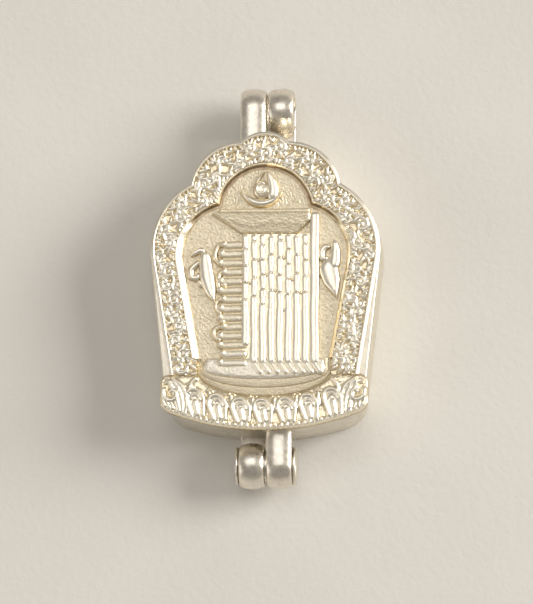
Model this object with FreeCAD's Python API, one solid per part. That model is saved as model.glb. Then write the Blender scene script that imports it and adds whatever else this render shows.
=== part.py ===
import FreeCAD, Part

import math
import os

# A small silver prayer-box pendant, lying on its back. Millimetres.
# +X is to the right and +Y towards the top loops, seen from the front; +Z comes out of the face.
# The origin is under the middle of the whole pendant, on the surface that it lies on.

Vec = FreeCAD.Vector
X_AXIS = Vec(1, 0, 0)
Y_AXIS = Vec(0, 1, 0)
Z_AXIS = Vec(0, 0, 1)

# Driving dimensions of the whole pendant
LENGTH = 44.2            # over the loops
CASE_WIDTH = 25.0
APEX_Y = 16.6            # top of the case
FOOT_Y = -16.3           # bottom of the case
PARTING_Z = 3.6          # where the two halves meet, and the height of the hinge axis
CASE_Z = 7.2             # top face of the front plate, which carries the relief

# Cutting solids reach past what they cut
PAST = 1.0
CUT_LOW, CUT_HIGH = CASE_Z - PAST, CASE_Z + 3 * PAST

# Sheet thicknesses and clearances
PLATE = 0.5
BACK_WALL = 0.5
FRONT_WALL = 0.4
COLLAR_WALL = 0.35
COLLAR_TOP_Z = PARTING_Z + 1.2
SEAM = 0.02              # gap between the rims of the two halves

# Case outline
SHOULDER_R = 8.24
SHOULDER_Y = 3.6         # height of the widest point
CUSP_Y = 10.85           # where the shoulder ends and the next lobe begins
LOBE_X, LOBE_Y = 2.75, 15.5
LOBE_SAG = 1.3           # bulge of the lobe between the cusp and the apex lobe
SIDE_ANGLE = 6.2         # how far the straight sides lean in towards the foot, degrees
CORNER_Y = -11.9         # where the rounded bottom corners start
FOOT_R = 28.7            # radius of the bowed bottom edge
CORNER_END_X = 8.3       # where the rounded bottom corners run into the bottom edge
CORNER_SAG = 0.75

# Relief frame round the face
FRAME_INSET = 0.1        # step from the case edge to the frame
WAIST_ANGLE = 9.3        # the frame's sides lean in more than the case's
RIM_W = 0.35
RIM_Z = CASE_Z + 0.85
FRAME_Z = CASE_Z + 0.7
SCROLL_INSET = 1.6       # middle line of the row of scrolls, in from the frame's edge
SCROLL_PITCH = 2.05
SCROLL_R = 0.68
SCROLL_WIRE_R = 0.23
SCROLL_TURN = 290        # degrees of each open ring
SCROLL_START = 150       # direction in which each begins, from the line out of the face's middle
SCROLL_TOP_START = 125   # the same for the one at the crown, from +X
BEAD_R = 0.27
BEZEL_W = 0.55
BEZEL_Z = CASE_Z + 0.85
BEZEL_SLOPE = 0.5

# Recessed field inside the frame
FIELD_TOP_Y = 12.4
FIELD_ARCH_R = 4.72
FIELD_SIDE_R = 5.35
FIELD_SIDE_X, FIELD_SIDE_Y = 3.55, 3.0
FIELD_ANGLE = 10.0
FIELD_BOTTOM_Y = -8.4

# Pedestal under the emblem: a half-oval platform and two steps down, then a block of lotus petals
SEAT_Y = -9.6            # height where the half-ovals begin; above it their sides are straight
SEAT_HALF = (6.6, 6.95, 7.3)
SEAT_DROP = (1.15, 2.05, 3.0)
SEAT_Z = (CASE_Z + 0.6, CASE_Z + 0.45, CASE_Z + 0.3)
BASE_TOP_Y = -10.2
BASE_HALF = 11.25
BASE_SIDE_Y = -13.94
BASE_Z = CASE_Z + 0.85
BASE_EDGE = 0.25
PETAL_COUNT = 7
PETAL_PITCH = 2.35
PETAL_R = 1.08
PETAL_TOP_Y = -13.0
PETAL_RISE = 1.05        # how much higher the last petals start than the middle one
PETAL_STEPS = ((0.0, 0.2), (0.42, 0.35))   # inset and height above the block of each layer
PETAL_LENGTH = 4.0       # straight part, before the block's foot trims it
PETAL_MARGIN = 0.1       # between the petals' feet and the block's sloping edge
CURL_X, CURL_Y, CURL_R, CURL_WIRE_R = 10.0, -12.0, 0.85, 0.3
CURL_START = 200         # direction in which each curl's open ring begins, degrees

# Emblem
REED_PITCH = 0.925
REED_FIRST_X = -2.1
REED_COUNT = 8
REED_W = 0.62
REED_Z = CASE_Z + 0.85
REED_TOP_Y = 5.2
REED_FOOT_Y = -8.75
REED_TOE = (1.05, -1.65)
TALL_REED_X, TALL_REED_W, TALL_REED_TOP_Y = 5.38, 0.74, 7.5
RIB_COUNT = 13
RIB_PITCH = 1.03
RIB_FIRST_Y = 4.0
RIB_W = 0.7
RIB_LEFT_X, RIB_RIGHT_X = -4.4, -2.8
RIB_SWAY = 0.3           # how far the ribs' left ends wander
RIB_Z = CASE_Z + 0.75
CANOPY_TOP_Y, CANOPY_FOOT_Y = 7.45, 5.25
CANOPY_TOP = (-5.8, 5.6)
CANOPY_FOOT = (-2.6, 3.5)
CANOPY_Z = CASE_Z + 0.8
LEDGE_W, LEDGE_HALF, LEDGE_DROP = 0.4, 4.6, 0.2
MOON_Y, MOON_R, MOON_BITE_R, MOON_BITE_UP = 10.15, 2.1, 1.85, 0.75
MOON_Z = CASE_Z + 0.6
SUN_Y, SUN_R, FLAME_TIP = 10.05, 0.95, (0.25, 12.1)
FLAME_SAGS = (-0.15, 0.08)           # bulge of the flame's right and left sides
SUN_Z = CASE_Z + 0.85
LEAF_Z = CASE_Z + 0.7
LEAF_LEFT = (-6.35, 3.4, 0.85)       # top x, top y, and how far right the tip lies
LEAF_RIGHT = (7.5, 4.2, 0.35)
LEAF_LENGTH, LEAF_W = 5.7, 0.9
LEAF_CURLS = ((-1.2, -0.95, 0.45), (-0.85, -2.9, 0.4))   # place from the leaf's top, and radius
LEAF_STEM = (0.15, -0.8)             # where a curl's stem ends: right of the top, below the curl
CURL_DISC_DROP, CURL_STEM_DROP = 0.1, 0.15

# Loops and hinge
LOOP_R = 2.5
LOOP_BORE_R = 1.8
LOOP_W = 2.8
LOOP_GAP = 0.2
LOOP_CROWN = 0.33        # how far the middle of the band stands above its edges
LOOP_Y = LENGTH / 2 - LOOP_R
PIN_R = 1.75
PIN_BORE_R = 1.4
PIN_FLARE_R = 2.12
PIN_FLARE_W = 0.3
PIN_CLEAR = 0.06         # between the loops and the flared ends of the tube
PIN_EDGE_R = 0.12        # rounding of the flares' rims


def arc_of_sag(start, end, sag):
    """An arc from start to end that bulges to the left of its direction by sag."""
    along = end - start
    left = Vec(-along.y, along.x, 0).normalize()
    return Part.Arc(start, (start + end) * 0.5 + left * sag, end)


def mirrored(points):
    return [Vec(-p.x, p.y, p.z) for p in reversed(points)]


def polar(centre, radius, degrees):
    angle = math.radians(degrees)
    return centre + Vec(radius * math.cos(angle), radius * math.sin(angle), 0)


def closed_wire(curves):
    return Part.Wire([c.toShape() for c in curves])


def prism(wire, low, high):
    """The wire's inside, from height low to height high."""
    face = Part.Face(wire)
    face.translate(Vec(0, 0, low))
    return face.extrude(Vec(0, 0, high - low))


def inset(wire, distance):
    """The outline moved inwards by distance."""
    return wire.makeOffset2D(-distance)


def lobed_top(angle, shrink):
    """Right-hand curves from the apex lobe to the straight side, with the tangent point where they end."""
    lobe = Vec(LOBE_X - shrink, LOBE_Y - shrink, 0)
    centre = Vec(CASE_WIDTH / 2 - SHOULDER_R, SHOULDER_Y, 0)
    radius = SHOULDER_R - shrink
    start = math.degrees(math.asin((CUSP_Y - shrink - centre.y) / radius))
    cusp = polar(centre, radius, start)
    side = polar(centre, radius, -angle)
    shoulder = Part.Arc(cusp, polar(centre, radius, start / 2 - angle / 2), side)
    return lobe, cusp, side, shoulder


def case_outline():
    """The outline of both halves of the case: five lobes above, straight sides, a bowed foot."""
    lobe, cusp, side, shoulder = lobed_top(SIDE_ANGLE, 0)
    lean = math.tan(math.radians(SIDE_ANGLE))
    corner = Vec(side.x - (side.y - CORNER_Y) * lean, CORNER_Y, 0)
    foot_centre_y = FOOT_Y + FOOT_R
    end = Vec(CORNER_END_X, foot_centre_y - math.sqrt(FOOT_R ** 2 - CORNER_END_X ** 2), 0)
    right = [corner, side, cusp, lobe]
    left = mirrored(right)
    left_end = Vec(-end.x, end.y, 0)
    apex = Vec(0, APEX_Y, 0)
    mid = shoulder.value(middle(shoulder))
    return closed_wire([
        arc_of_sag(end, corner, -CORNER_SAG),
        Part.LineSegment(corner, side),
        reversed_arc(side, shoulder, cusp),
        arc_of_sag(cusp, lobe, -LOBE_SAG),
        Part.Arc(lobe, apex, left[0]),
        arc_of_sag(left[0], left[1], -LOBE_SAG),
        Part.Arc(left[1], Vec(-mid.x, mid.y, 0), left[2]),
        Part.LineSegment(left[2], left[3]),
        arc_of_sag(left[3], left_end, -CORNER_SAG),
        Part.Arc(left_end, Vec(0, FOOT_Y, 0), end),
    ])


def middle(curve):
    return (curve.FirstParameter + curve.LastParameter) / 2


def reversed_arc(start, curve, end):
    return Part.Arc(start, curve.value(middle(curve)), end)


def frame_outline():
    """The relief frame's outer outline, which runs down behind the pedestal."""
    lobe, cusp, side, shoulder = lobed_top(WAIST_ANGLE, FRAME_INSET)
    lean = math.tan(math.radians(WAIST_ANGLE))
    waist_y = BASE_TOP_Y - PAST
    waist = Vec(side.x - (side.y - waist_y) * lean, waist_y, 0)
    left = mirrored([waist, side, cusp, lobe])
    apex = Vec(0, APEX_Y - FRAME_INSET, 0)
    mid = shoulder.value(middle(shoulder))
    return closed_wire([
        Part.LineSegment(left[3], waist),
        Part.LineSegment(waist, side),
        reversed_arc(side, shoulder, cusp),
        arc_of_sag(cusp, lobe, -LOBE_SAG),
        Part.Arc(lobe, apex, left[0]),
        arc_of_sag(left[0], left[1], -LOBE_SAG),
        Part.Arc(left[1], Vec(-mid.x, mid.y, 0), left[2]),
        Part.LineSegment(left[2], left[3]),
    ])


def field_outline(grow=0.0):
    """The recessed field's outline: a round arch over two side lobes, with leaning sides."""
    arch_centre = Vec(0, FIELD_TOP_Y - FIELD_ARCH_R, 0)
    arch_r = FIELD_ARCH_R + grow
    side_r = FIELD_SIDE_R + grow
    centre = Vec(FIELD_SIDE_X, FIELD_SIDE_Y, 0)
    gap = arch_centre - centre
    distance = gap.Length
    reach = (side_r ** 2 - arch_r ** 2 + distance ** 2) / (2 * distance)
    rise = math.sqrt(side_r ** 2 - reach ** 2)
    along = Vec(gap.x, gap.y, 0).normalize()
    cusp = centre + along * reach + Vec(along.y, -along.x, 0) * rise
    cusp_angle = math.degrees(math.atan2(cusp.y - centre.y, cusp.x - centre.x))
    side = polar(centre, side_r, -FIELD_ANGLE)
    lean = math.tan(math.radians(FIELD_ANGLE))
    corner = Vec(side.x - (side.y - FIELD_BOTTOM_Y) * lean, FIELD_BOTTOM_Y, 0)
    mid = polar(centre, side_r, (cusp_angle - FIELD_ANGLE) / 2)
    left = mirrored([corner, side, cusp])
    return closed_wire([
        Part.LineSegment(left[2], corner),
        Part.LineSegment(corner, side),
        Part.Arc(side, mid, cusp),
        Part.Arc(cusp, arch_centre + Vec(0, arch_r, 0), left[0]),
        Part.Arc(left[0], Vec(-mid.x, mid.y, 0), left[1]),
        Part.LineSegment(left[1], left[2]),
    ])


def seat(tier, low, high):
    """A half-oval with straight sides above it, up to the foot of the field. Tier 0 is the smallest."""
    half, drop = SEAT_HALF[tier], SEAT_DROP[tier]
    left, right = Vec(-half, SEAT_Y, 0), Vec(half, SEAT_Y, 0)
    top_left, top_right = Vec(-half, FIELD_BOTTOM_Y, 0), Vec(half, FIELD_BOTTOM_Y, 0)
    oval = Part.Ellipse(Vec(0, SEAT_Y, 0), half, drop)
    wire = closed_wire([
        Part.ArcOfEllipse(oval, math.pi, 2 * math.pi),
        Part.LineSegment(right, top_right),
        Part.LineSegment(top_right, top_left),
        Part.LineSegment(top_left, left),
    ])
    return prism(wire, low, high)


def base_outline():
    """The petal block: square shoulders and a bowed foot."""
    corners = [Vec(BASE_HALF, BASE_TOP_Y, 0), Vec(BASE_HALF, BASE_SIDE_Y, 0)]
    left = mirrored(corners)
    return closed_wire([
        Part.LineSegment(corners[0], corners[1]),
        Part.Arc(corners[1], Vec(0, FOOT_Y, 0), left[0]),
        Part.LineSegment(left[0], left[1]),
        Part.LineSegment(left[1], corners[0]),
    ])


def band(outer, inner, low, high):
    return prism(outer, low, high).cut(prism(inner, low - PAST, high + PAST))


def face_below(level_y):
    """Everything on the face that lies below a level line, for cutting."""
    corner = Vec(-CASE_WIDTH, level_y - LENGTH, CUT_LOW)
    return Part.makeBox(2 * CASE_WIDTH, LENGTH, CUT_HIGH - CUT_LOW, corner)


def half_round(start, end, width, top):
    """A bar with a half-round top, standing on the front plate from start to end."""
    radius = width / 2
    along = end - start
    side = Vec(-along.y, along.x, 0).normalize() * radius
    low, spring = Vec(0, 0, CASE_Z), Vec(0, 0, top - radius)
    profile = Part.Wire([
        Part.LineSegment(start + side + low, start - side + low).toShape(),
        Part.LineSegment(start - side + low, start - side + spring).toShape(),
        Part.Arc(start - side + spring, start + Vec(0, 0, top), start + side + spring).toShape(),
        Part.LineSegment(start + side + spring, start + side + low).toShape(),
    ])
    bar = Part.Face(profile).extrude(along)
    for p in (start, end):
        post = Part.makeCylinder(radius, top - radius - CASE_Z, p + low)
        bar = bar.fuse([post, Part.makeSphere(radius, p + spring)])
    return bar.removeSplitter()


def trim_to_pedestal(solid):
    """Cuts away what would run into the pedestal."""
    return solid.cut([seat(2, CUT_LOW, CUT_HIGH), face_below(BASE_TOP_Y)])


def scroll(place, degrees, radius, wire_r, flip=False):
    """An open ring of half-round wire lying on the plane through place, with a bead in its middle."""
    profile = Part.Face(Part.Wire([
        Part.LineSegment(Vec(radius - wire_r, 0, 0), Vec(radius + wire_r, 0, 0)).toShape(),
        Part.Arc(Vec(radius + wire_r, 0, 0), Vec(radius, 0, wire_r), Vec(radius - wire_r, 0, 0)).toShape(),
    ]))
    ring = profile.revolve(Vec(0, 0, 0), Z_AXIS, SCROLL_TURN)
    ring.rotate(Vec(0, 0, 0), Z_AXIS, degrees)
    if flip:
        ring = ring.mirror(Vec(0, 0, 0), X_AXIS)
    bead = Part.makeSphere(radius * BEAD_R / SCROLL_R, Vec(0, 0, 0), Z_AXIS, 0, 90, 360)
    pair = [ring, bead]
    for piece in pair:
        piece.translate(place)
    return pair


def edges_at(solid, height):
    return [e for e in solid.Edges
            if abs(e.BoundBox.ZMin - height) < 1e-6 and abs(e.BoundBox.ZMax - height) < 1e-6]


# Back half of the case

def back_plate():
    return prism(case_outline(), 0, PLATE)


def back_wall():
    outline = case_outline()
    return band(outline, inset(outline, BACK_WALL), PLATE, PARTING_Z - SEAM)


def inner_collar():
    """The band soldered inside the back wall; its upper part slips inside the cover."""
    outer = inset(case_outline(), BACK_WALL)
    return band(outer, inset(outer, COLLAR_WALL), PLATE, COLLAR_TOP_Z)


# Front half of the case

def front_wall():
    outline = case_outline()
    return band(outline, inset(outline, FRONT_WALL), PARTING_Z, CASE_Z - PLATE)


def front_plate():
    return prism(case_outline(), CASE_Z - PLATE, CASE_Z)


def outer_rim():
    outline = frame_outline()
    return trim_to_pedestal(band(outline, inset(outline, RIM_W), CASE_Z, RIM_Z))


def border_frame():
    outer = prism(inset(frame_outline(), RIM_W), CASE_Z, FRAME_Z)
    hole = prism(field_outline(BEZEL_W), CUT_LOW, CUT_HIGH)
    return trim_to_pedestal(outer.cut(hole))


def border_scrolls():
    """A row of open rings round the frame, mirrored left to right, with one at the crown."""
    line = inset(frame_outline(), SCROLL_INSET)
    crown = Vec(0, APEX_Y - FRAME_INSET - SCROLL_INSET, FRAME_Z)
    rings = scroll(crown, SCROLL_TOP_START, SCROLL_R, SCROLL_WIRE_R)
    reach = SCROLL_R + SCROLL_WIRE_R
    for point in line.discretize(Distance=SCROLL_PITCH):
        if point.x > SCROLL_PITCH / 2 and point.y > BASE_TOP_Y + reach:
            place = Vec(point.x, point.y, FRAME_Z)
            turn = math.degrees(math.atan2(point.y, point.x)) + SCROLL_START
            rings += scroll(place, turn, SCROLL_R, SCROLL_WIRE_R)
            mirror = Vec(-point.x, point.y, FRAME_Z)
            rings += scroll(mirror, turn, SCROLL_R, SCROLL_WIRE_R, flip=True)
    return Part.makeCompound(rings)


def inner_bezel():
    """The smooth band between the frame and the field, sloping down to the field."""
    solid = band(field_outline(BEZEL_W), field_outline(), CASE_Z, BEZEL_Z)
    solid = solid.cut(face_below(FIELD_BOTTOM_Y))
    inner = [e for e in edges_at(solid, BEZEL_Z) if on_field_edge(e)]
    return solid.makeChamfer(BEZEL_SLOPE, inner)


def on_field_edge(edge):
    """True for an edge on the field's own outline, which passes within a hair of its middle point."""
    p = edge.valueAt((edge.FirstParameter + edge.LastParameter) / 2)
    flat = Part.Vertex(Vec(p.x, p.y, 0))
    return field_outline().distToShape(flat)[0] < 1e-4


def lotus_base():
    block = prism(base_outline(), CASE_Z, BASE_Z)
    block = block.makeChamfer(BASE_EDGE, edges_at(block, BASE_Z))
    return block.cut(seat(2, CUT_LOW, CUT_HIGH))


def lotus_petals():
    """A row of petals on the block, each a round-topped pad with a smaller one on it."""
    foot = prism(inset(base_outline(), BASE_EDGE + PETAL_MARGIN), BASE_Z, CUT_HIGH)
    last = (PETAL_COUNT - 1) / 2
    petals = []
    for i in range(PETAL_COUNT):
        x = (i - last) * PETAL_PITCH
        top = PETAL_TOP_Y + PETAL_RISE * ((i - last) / last) ** 2
        for margin, height in PETAL_STEPS:
            half = PETAL_R - margin
            centre = Vec(x, top - PETAL_R, BASE_Z)
            pad = Part.makeCylinder(half, height, centre)
            pad = pad.fuse(Part.makeBox(2 * half, PETAL_LENGTH, height, centre - Vec(half, PETAL_LENGTH, 0)))
            petals.append(pad.common(foot))
    layers = [petals[i].fuse(petals[i + 1]).removeSplitter() for i in range(0, len(petals), 2)]
    return Part.makeCompound(layers)


def end_curls():
    """The large curl at each end of the petal row."""
    rings = []
    for sign in (-1, 1):
        place = Vec(sign * CURL_X, CURL_Y, BASE_Z)
        rings += scroll(place, CURL_START, CURL_R, CURL_WIRE_R, flip=sign < 0)
    return Part.makeCompound(rings)


def seat_steps():
    """The two half-oval steps below the platform."""
    tiers = []
    for tier in (1, 2):
        hollow = seat(tier - 1, CUT_LOW, CUT_HIGH)
        tiers.append(seat(tier, CASE_Z, SEAT_Z[tier]).cut(hollow))
    return Part.makeCompound(tiers)


def platform():
    """The half-oval that the emblem stands on."""
    return seat(0, CASE_Z, SEAT_Z[0]).cut([reed_bundle(), rib_stack()])


def reed_bundle():
    """The row of upright bars. All but the first end in a slanting toe."""
    reeds = []
    for i in range(REED_COUNT):
        x = REED_FIRST_X + i * REED_PITCH
        reeds.append(reed(x, REED_W, REED_TOP_Y - REED_W / 2, has_toe=i > 0))
    reeds.append(reed(TALL_REED_X, TALL_REED_W, TALL_REED_TOP_Y - TALL_REED_W / 2, has_toe=True))
    return Part.makeCompound(reeds).cut(seat_walls())


def seat_walls():
    """What lies outside the platform, below the field's foot."""
    return face_below(FIELD_BOTTOM_Y).cut(seat(0, CUT_LOW - PAST, CUT_HIGH + PAST))


def reed(x, width, top_y, has_toe):
    top, foot = Vec(x, top_y, 0), Vec(x, REED_FOOT_Y, 0)
    bar = half_round(top, foot, width, REED_Z)
    if has_toe:
        toe = foot + Vec(*REED_TOE, 0)
        bar = bar.fuse(half_round(foot, toe, width, REED_Z)).removeSplitter()
    return bar


def rib_stack():
    """The stack of level bars on the left of the emblem."""
    ribs = []
    for i in range(RIB_COUNT):
        y = RIB_FIRST_Y - i * RIB_PITCH
        left = RIB_LEFT_X + RIB_SWAY * math.cos(2 * math.pi * i / 3)
        ribs.append(half_round(Vec(left, y, 0), Vec(RIB_RIGHT_X, y, 0), RIB_W, RIB_Z))
    return Part.makeCompound(ribs)


def canopy():
    """The inverted trapezium over the emblem, with a narrow ledge along its top."""
    corners = [
        Vec(CANOPY_TOP[0], CANOPY_TOP_Y, 0),
        Vec(CANOPY_FOOT[0], CANOPY_FOOT_Y, 0),
        Vec(CANOPY_FOOT[1], CANOPY_FOOT_Y, 0),
        Vec(CANOPY_TOP[1], CANOPY_TOP_Y, 0),
    ]
    body = prism(Part.makePolygon(corners + corners[:1]), CASE_Z, CANOPY_Z)
    ledge = Part.makeBox(2 * LEDGE_HALF, LEDGE_W, CANOPY_Z - CASE_Z - LEDGE_DROP,
                         Vec(-LEDGE_HALF, CANOPY_TOP_Y, CASE_Z))
    return body.fuse(ledge).removeSplitter().cut(reed_bundle())


def crescent():
    disc = Part.makeCylinder(MOON_R, MOON_Z - CASE_Z, Vec(0, MOON_Y, CASE_Z))
    bite = Part.makeCylinder(MOON_BITE_R, CUT_HIGH - CUT_LOW, Vec(0, MOON_Y + MOON_BITE_UP, CUT_LOW))
    return disc.cut([bite, sun_drop()])


def sun_drop():
    """The sun disc with the flame that rises from it."""
    tip = Vec(FLAME_TIP[0], FLAME_TIP[1], 0)
    centre = Vec(0, SUN_Y, 0)
    left, right = centre + Vec(-SUN_R, 0, 0), centre + Vec(SUN_R, 0, 0)
    wire = closed_wire([
        Part.Arc(left, centre + Vec(0, -SUN_R, 0), right),
        arc_of_sag(right, tip, FLAME_SAGS[0]),
        arc_of_sag(tip, left, FLAME_SAGS[1]),
    ])
    return prism(wire, CASE_Z, SUN_Z)


def leaf(x, top_y, tip_shift):
    """A pointed blade with two small curls on its left."""
    top, tip = Vec(x, top_y, 0), Vec(x + tip_shift, top_y - LEAF_LENGTH, 0)
    wire = closed_wire([arc_of_sag(top, tip, LEAF_W / 2), arc_of_sag(tip, top, LEAF_W / 2)])
    parts = []
    for dx, dy, radius in LEAF_CURLS:
        curl = Vec(x + dx, top_y + dy, 0)
        root = Vec(x + LEAF_STEM[0], curl.y + LEAF_STEM[1], 0)
        parts.append(half_round(curl, root, radius, LEAF_Z - CURL_STEM_DROP))
        disc_height = LEAF_Z - CURL_DISC_DROP - CASE_Z
        parts.append(Part.makeCylinder(radius, disc_height, curl + Vec(0, 0, CASE_Z)))
    return prism(wire, CASE_Z, LEAF_Z).fuse(parts).removeSplitter()


# Loops and hinge tube

def band_profile(x, bore):
    """The band's section at the top of a loop: flat inside, crowned outside, centred on x."""
    edge_r = LOOP_R - LOOP_CROWN
    left, right = x - LOOP_W / 2, x + LOOP_W / 2
    return closed_wire([
        Part.LineSegment(Vec(left, 0, bore), Vec(left, 0, edge_r)),
        Part.Arc(Vec(left, 0, edge_r), Vec(x, 0, LOOP_R), Vec(right, 0, edge_r)),
        Part.LineSegment(Vec(right, 0, edge_r), Vec(right, 0, bore)),
        Part.LineSegment(Vec(right, 0, bore), Vec(left, 0, bore)),
    ])


def loop(x_sign, y_sign, on_cover, bore=LOOP_BORE_R):
    """A band that leaves the wall of its own half of the case, level with the loop's rim, and rolls
    round into a ring. A cover loop leaves at the top and a back loop at the bottom."""
    x = x_sign * (LOOP_W + LOOP_GAP) / 2
    face = Part.Face(band_profile(x, bore))
    ring = face.revolve(Vec(0, 0, 0), X_AXIS, 360)
    leg = face.extrude(Vec(0, -y_sign * LOOP_Y / 2, 0))
    solid = ring.fuse(leg).removeSplitter()
    if not on_cover:
        solid = solid.mirror(Vec(0, 0, 0), Z_AXIS)
    solid.translate(Vec(0, y_sign * LOOP_Y, PARTING_Z))
    return solid.cut(prism(case_outline(), -PAST, CUT_HIGH))


def hinge_tube():
    """The open tube through both bottom loops, with its ends flared over them."""
    half = LOOP_W + LOOP_GAP / 2 + PIN_CLEAR
    end = half + PIN_FLARE_W
    outline = Part.makePolygon([
        Vec(-end, PIN_BORE_R, 0), Vec(-end, PIN_FLARE_R, 0), Vec(-half, PIN_FLARE_R, 0),
        Vec(-half, PIN_R, 0), Vec(half, PIN_R, 0), Vec(half, PIN_FLARE_R, 0),
        Vec(end, PIN_FLARE_R, 0), Vec(end, PIN_BORE_R, 0), Vec(-end, PIN_BORE_R, 0),
    ])
    tube = Part.Face(outline).revolve(Vec(0, 0, 0), X_AXIS, 360)
    rims = [e for e in tube.Edges if abs(e.BoundBox.YMax - PIN_FLARE_R) < 1e-6]
    tube = tube.makeFillet(PIN_EDGE_R, rims)
    tube.translate(Vec(0, -LOOP_Y, PARTING_Z))
    return tube


PARTS = {
    "back_plate": back_plate,
    "back_wall": back_wall,
    "inner_collar": inner_collar,
    "top_right_loop": lambda: loop(1, 1, on_cover=False),
    "bottom_left_loop": lambda: loop(-1, -1, on_cover=False, bore=PIN_R),
    "hinge_tube": hinge_tube,
    "front_wall": front_wall,
    "front_plate": front_plate,
    "top_left_loop": lambda: loop(-1, 1, on_cover=True),
    "bottom_right_loop": lambda: loop(1, -1, on_cover=True),
    "outer_rim": outer_rim,
    "border_frame": border_frame,
    "border_scrolls": border_scrolls,
    "inner_bezel": inner_bezel,
    "lotus_base": lotus_base,
    "lotus_petals": lotus_petals,
    "end_curls": end_curls,
    "seat_steps": seat_steps,
    "platform": platform,
    "reed_bundle": reed_bundle,
    "rib_stack": rib_stack,
    "canopy": canopy,
    "crescent": crescent,
    "sun_drop": sun_drop,
    "left_leaf": lambda: leaf(*LEAF_LEFT),
    "right_leaf": lambda: leaf(*LEAF_RIGHT),
}


def main():
    os.makedirs("parts", exist_ok=True)
    for name, build in PARTS.items():
        shape = build()
        solids = shape.Solids
        if not shape.isValid() or not solids:
            raise SystemExit(f"{name} isn't a valid solid")
        result = solids[0] if len(solids) == 1 else Part.makeCompound(solids)
        result.exportStep(f"parts/{name}.step")
        print(f"{name}: {len(solids)} solids, {sum(s.Volume for s in solids):.3f} mm3")


main()
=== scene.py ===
import math

import bpy
import numpy as np
from mathutils import Matrix, Vector


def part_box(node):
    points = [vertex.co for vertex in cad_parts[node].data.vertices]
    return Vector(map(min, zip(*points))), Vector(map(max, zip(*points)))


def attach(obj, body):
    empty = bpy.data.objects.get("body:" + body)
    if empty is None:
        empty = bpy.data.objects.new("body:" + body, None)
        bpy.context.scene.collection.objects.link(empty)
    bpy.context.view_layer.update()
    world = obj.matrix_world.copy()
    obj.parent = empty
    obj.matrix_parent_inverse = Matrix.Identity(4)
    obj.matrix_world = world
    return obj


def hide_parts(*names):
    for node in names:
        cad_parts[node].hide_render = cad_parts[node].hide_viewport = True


# A silver prayer-box pendant lying on its back. Lengths are millimetres until a mesh is made, and a finished
# mesh is in metres. Heights of the relief are above the face sheet, FACE_Z.
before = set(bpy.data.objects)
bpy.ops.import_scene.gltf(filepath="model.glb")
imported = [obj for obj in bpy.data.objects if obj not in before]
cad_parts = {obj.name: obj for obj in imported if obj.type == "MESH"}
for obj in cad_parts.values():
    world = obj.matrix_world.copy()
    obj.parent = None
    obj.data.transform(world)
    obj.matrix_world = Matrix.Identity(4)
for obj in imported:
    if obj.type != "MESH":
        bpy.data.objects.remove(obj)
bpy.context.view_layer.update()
MM = 0.001
rng = np.random.default_rng(11)


def node_box(node):
    """Lowest and highest corners of a CAD node, in millimetres."""
    low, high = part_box(node)
    return np.array(low) / MM, np.array(high) / MM


# Heights and extents taken from the frame
FACE_Z = node_box("front_plate")[1][2]
PLATE_LOW_Z = node_box("front_plate")[0][2]
PARTING_Z = node_box("front_wall")[0][2]
BACK_RIM_Z = node_box("back_wall")[1][2]
BACK_PLATE_Z = node_box("back_plate")[1][2]
CASE_HALF = node_box("front_plate")[1][0]
APEX_Y = node_box("front_plate")[1][1]
FOOT_Y = node_box("front_plate")[0][1]
BASE_HALF = node_box("lotus_base")[1][0]
BASE_TOP_Y = node_box("lotus_base")[1][1]
SEAT_HALF = node_box("seat_steps")[1][0]
FIELD_BOTTOM_Y = node_box("seat_steps")[1][1]

# Case outline: a straight side, a round shoulder, a side lobe that starts at a cusp, and a crown lobe
SHOULDER_R, SHOULDER_Y = 8.24, 3.6
CUSP_Y = 10.85
LOBE_END = (2.75, 15.5)
LOBE_SAG = 1.3
SIDE_ANGLE = 6.2
CORNER_Y, CORNER_END_X, CORNER_SAG = -11.9, 8.3, 0.75
FOOT_R = 28.7
FRONT_WALL, BACK_WALL = 0.4, 0.5
EDGE_R, FACE_EDGE_R, BACK_EDGE_R, HIDDEN_R = 0.12, 0.16, 0.3, 0.03

# Frame round the sunk field, and the field's own outline: an arch over two round shoulders
WAIST_ANGLE = 9.3
FRAME_INSET = 0.1
FRAME_FOOT_Y = BASE_TOP_Y - 0.05
RIM_W, RIM_TOP = 0.46, 0.94
BEVEL_W, BEVEL_RIGHT, BEVEL_ARCH = 0.85, 0.5, 0.72
BORDER_GROUND, FIELD_GROUND = 0.56, 0.1
ARCH_R, ARCH_Y = 4.72, 7.68
LOBE_R, LOBE_X, RAY_Y = 5.35, 3.55, 3.0
FIELD_ANGLE = 10.0

# Pedestal: half-width and drop of its three half-oval tiers, and the petal block in front of them
SEAT_Y = -9.6
TIERS = ((6.6, 1.15), (6.95, 2.05), (SEAT_HALF, 3.0))
TIER_HEIGHTS = ((1, 0.26, 0.5), (2, 0.12, 0.34))
PLATFORM_CORNER_R, BASE_TOP_CORNER_R, BASE_FOOT_CORNER_R = 0.75, 0.95, 0.9
BASE_SIDE_Y = -13.94
PETAL_PITCH, PETAL_COUNT, PETAL_LEAN = 2.35, 7, 0.17

# Emblem: upright reeds with slanting toes, level ribs beside them and a canopy over them
REED_X, REED_PITCH, REED_COUNT = -2.1, 0.925, 8
REED_TOP_Y, REED_FOOT_Y, TOE = 5.2, -8.75, (1.05, -1.65)
REED_W, POST_X, POST_TOP_Y, POST_W = 0.82, 5.36, 7.6, 1.0
JOINTED_DOWN_TO_Y = -3.4
RIB_COUNT, RIB_TOP_Y, RIB_PITCH = 14, 4.05, 1.0
CANOPY_TOP_Y, CANOPY_END_X, LEDGE_Y = 7.45, 4.96, 7.7

# Loops
BAND_IN_R, BAND_OUT_R, BAND_CROWN = 1.8, 2.5, 0.33

FINE = 0.075             # spacing of the relief's grid lines
EDGE_STEP = 0.16         # spacing along the case's outline
SUNK = 0.05              # how far a relief piece reaches into the sheet under it


# -------------------- curves

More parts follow.
